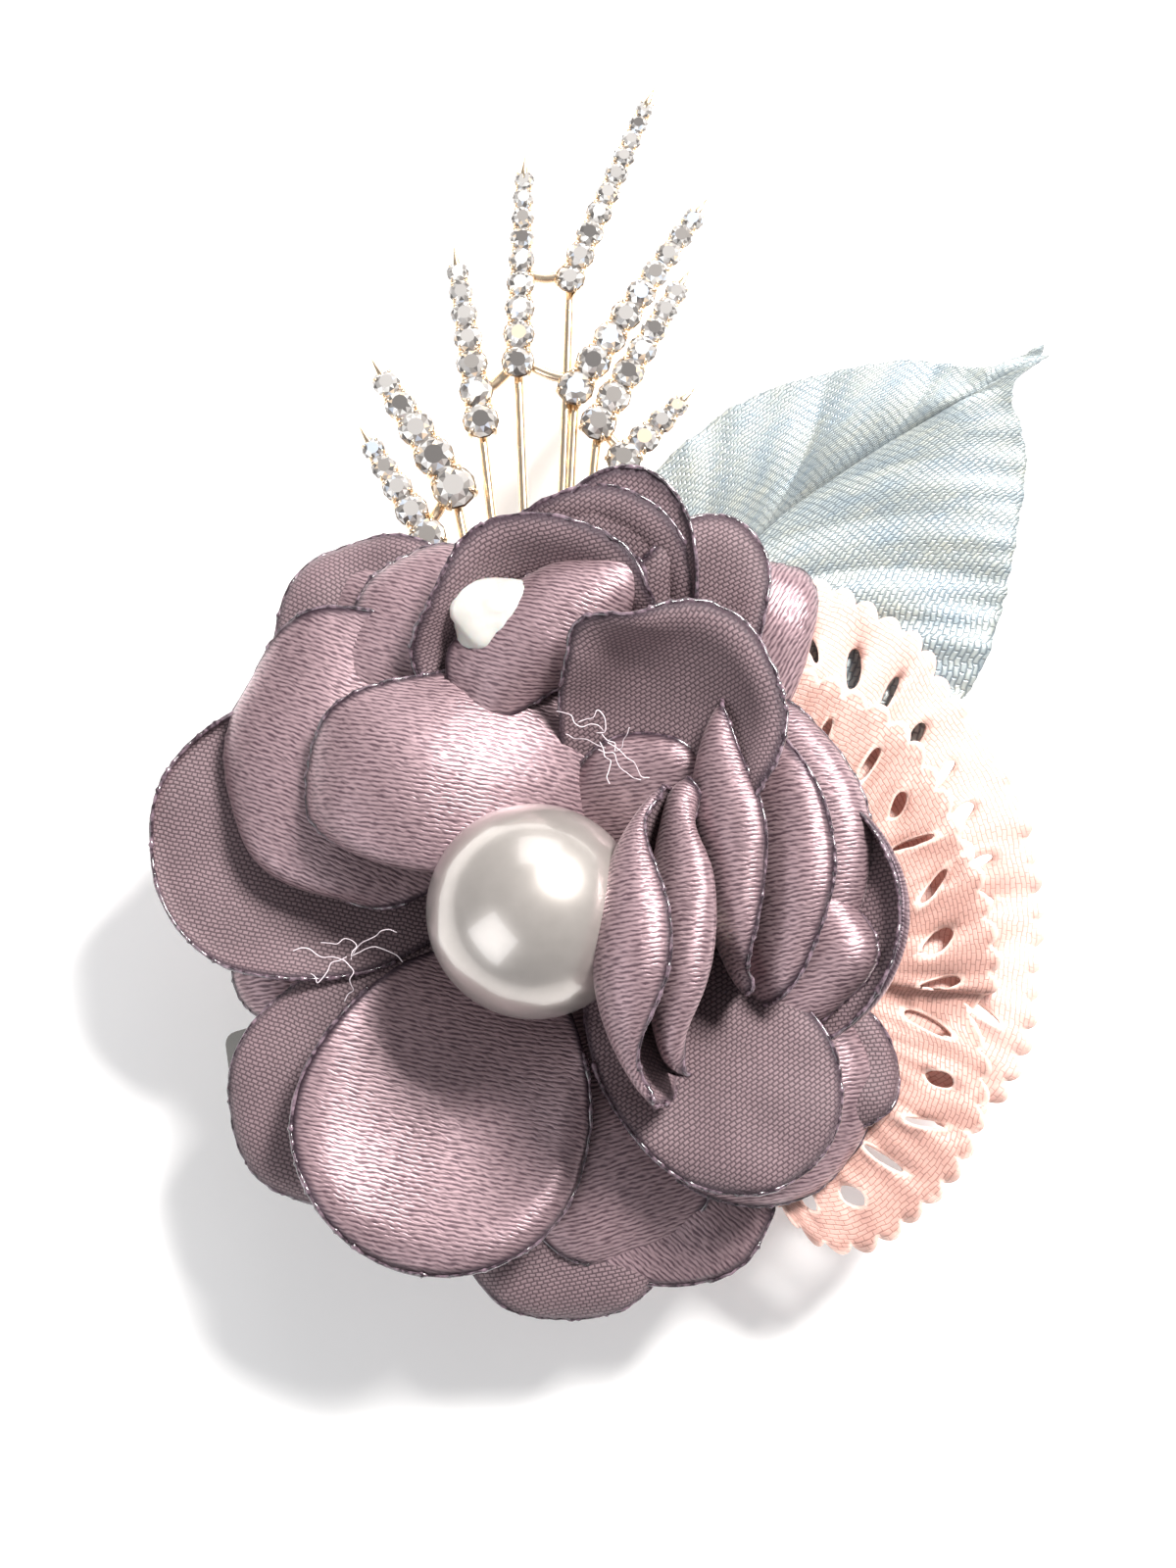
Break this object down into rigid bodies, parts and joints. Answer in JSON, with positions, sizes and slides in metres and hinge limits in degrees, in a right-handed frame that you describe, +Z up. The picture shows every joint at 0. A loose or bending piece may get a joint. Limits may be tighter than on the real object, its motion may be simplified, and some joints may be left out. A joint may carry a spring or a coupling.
{
  "type": "flower hair clip",
  "caption": "Pinch hair clip carrying a singed-satin flower round a pearl, with a crystal branch, a ribbon leaf and a gathered ribbon rosette.",
  "frame": {"origin": "centre of the flat underside of the clip's lower arm", "axes": "+Z up out of the flower's face, +Y towards the crystal branch, +X to the wearer's leaf side"},
  "size_m": [0.0628, 0.0876, 0.029],
  "materials": {
    "nickel_plated_steel": "bright nickel plate on stamped strip",
    "spring_steel": "drawn wire",
    "polyester_satin": "dusty mauve satin, singed at its edges",
    "blush_satin_ribbon": "cut and gathered ribbon",
    "lurex_brocade": "silver metallic ribbed ribbon",
    "gold_plated_brass": "pale gold plate on castings",
    "glass_crystal": "foil-backed chatons",
    "pearl_coated_acrylic": "pearlescent lacquer",
    "pressed_felt": "pressed wool-mix felt",
    "hot_melt_glue": "cloudy white hot-melt glue"
  },
  "bodies": {
    "lower_jaw": {"clip_lower_arm": "nickel_plated_steel", "clip_hinge_pin": "spring_steel", "clip_torsion_spring": "spring_steel"},
    "upper_jaw": {"clip_upper_arm": "nickel_plated_steel", "adhesive_pad": "hot_melt_glue", "felt_backing": "pressed_felt", "glue_core": "hot_melt_glue", "glue_dab_upper": "hot_melt_glue", "glue_dab_right": "hot_melt_glue", "pearl_bead": "pearl_coated_acrylic", "outer_petal_right": "polyester_satin", "outer_petal_upper_right": "polyester_satin", "outer_petal_upper_left": "polyester_satin", "outer_petal_left": "polyester_satin", "outer_petal_lower_left": "polyester_satin", "outer_petal_bottom": "polyester_satin", "outer_petal_lower_right": "polyester_satin", "second_petal_right": "polyester_satin", "second_petal_top": "polyester_satin", "second_petal_upper_left": "polyester_satin", "second_petal_left": "polyester_satin", "second_petal_lower_left": "polyester_satin", "second_petal_bottom": "polyester_satin", "second_petal_lower_right": "polyester_satin", "middle_petal_right": "polyester_satin", "middle_petal_top": "polyester_satin", "middle_petal_lower_right": "polyester_satin", "inner_petal_left": "polyester_satin", "inner_petal_top": "polyester_satin", "inner_petal_upper_right": "polyester_satin", "inner_petal_right": "polyester_satin", "heart_petal_right": "polyester_satin", "heart_petal_lower_right": "polyester_satin", "ribbon_leaf": "lurex_brocade", "leaf_stem_wire": "gold_plated_brass", "rosette_back_layer": "blush_satin_ribbon", "rosette_front_layer": "blush_satin_ribbon", "branch_frame": "gold_plated_brass", "crystal_row_1": "glass_crystal", "crystal_row_2": "glass_crystal", "crystal_row_3": "glass_crystal", "crystal_row_4": "glass_crystal", "crystal_row_5": "glass_crystal", "crystal_row_6": "glass_crystal", "crystal_row_7": "glass_crystal", "crystal_row_8": "glass_crystal"}
  },
  "joints": [
    {"name": "jaw_hinge", "type": "hinge", "parent": "lower_jaw", "child": "upper_jaw", "pos_m": [-0.00884, -0.00254, 0.0029], "axis": [0.2756, -0.9613, 0], "range_deg": [0, 15], "stiffness_Nm_per_rad": 0.08, "springref_deg": -20.05, "deforming": ["clip_torsion_spring"]}
  ]
}
